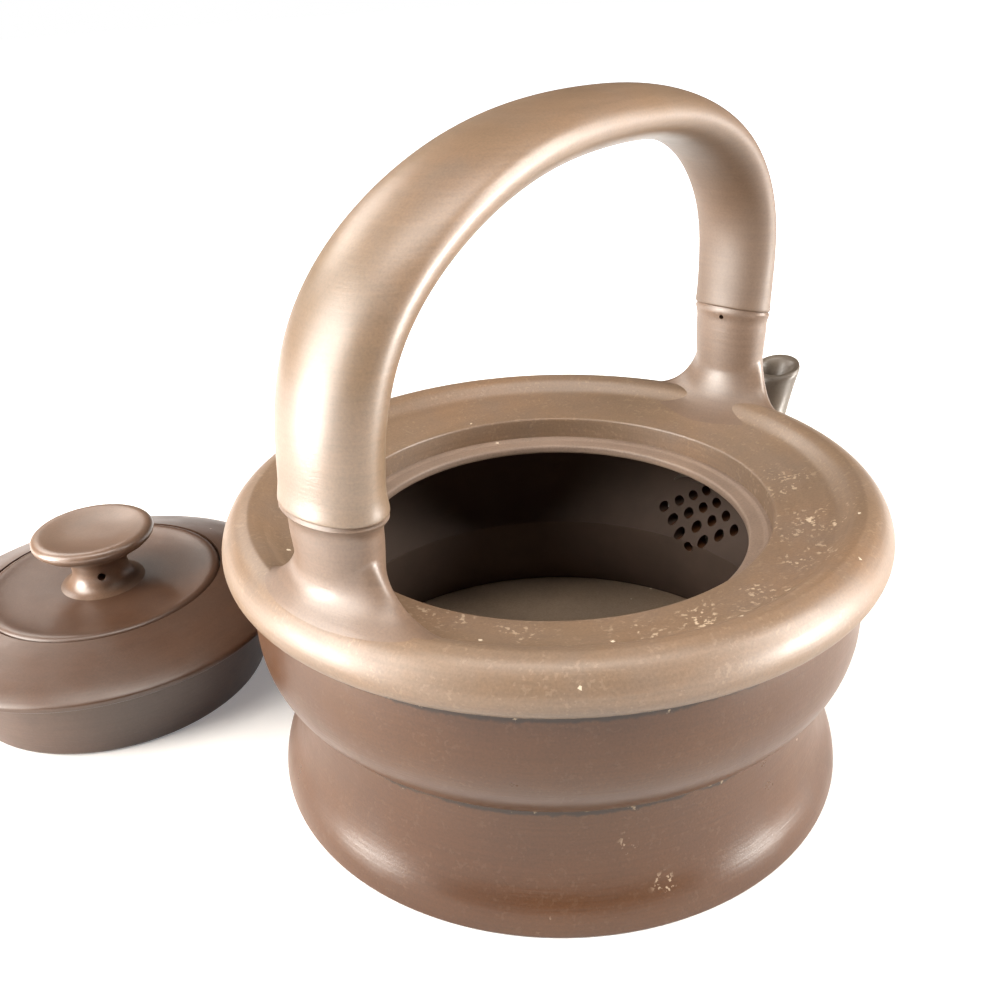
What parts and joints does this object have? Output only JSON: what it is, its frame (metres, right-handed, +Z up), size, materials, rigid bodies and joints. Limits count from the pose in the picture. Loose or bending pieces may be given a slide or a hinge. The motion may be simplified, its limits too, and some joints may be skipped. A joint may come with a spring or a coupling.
{
  "type": "teapot",
  "caption": "Unglazed stoneware teapot with a tall arched handle over a wide mouth, a short bent spout, a pierced strainer and a knobbed lid standing beside it.",
  "frame": {"origin": "centre of the pot's flat base, on the table", "axes": "+X towards the spout, in the plane of the handle's arch; +Z up; the lid stands on the table on the +Y side, behind the handle's rear leg"},
  "size_m": [0.1963, 0.2135, 0.1378],
  "materials": {
    "base_clay": "matt fired clay",
    "foot_clay": "satin fired clay",
    "band_clay": "satin fired clay",
    "shoulder_clay": "satin fired clay with pale specks",
    "ledge_clay": "matt fired clay",
    "spout_clay": "satin fired clay",
    "rear_root_clay": "satin fired clay",
    "spout_root_clay": "satin fired clay",
    "handle_clay": "satin fired clay",
    "lid_flange_clay": "matt fired clay",
    "lid_skirt_clay": "satin fired clay",
    "lid_plate_clay": "satin fired clay",
    "knob_clay": "satin fired clay"
  },
  "bodies": {
    "pot": {"base_plate": "base_clay", "foot_wall": "foot_clay", "middle_band": "band_clay", "shoulder_ring": "shoulder_clay", "mouth_ledge": "ledge_clay", "spout": "spout_clay", "rear_handle_root": "rear_root_clay", "spout_handle_root": "spout_root_clay", "handle_arch": "handle_clay"},
    "lid": {"lid_flange": "lid_flange_clay", "lid_skirt": "lid_skirt_clay", "lid_plate": "lid_plate_clay", "knob": "knob_clay"}
  },
  "joints": [
    {"name": "lid_lift", "type": "slide", "parent": "pot", "child": "lid", "axis": [0, 0, 1], "range_m": [0, 0.08]}
  ]
}
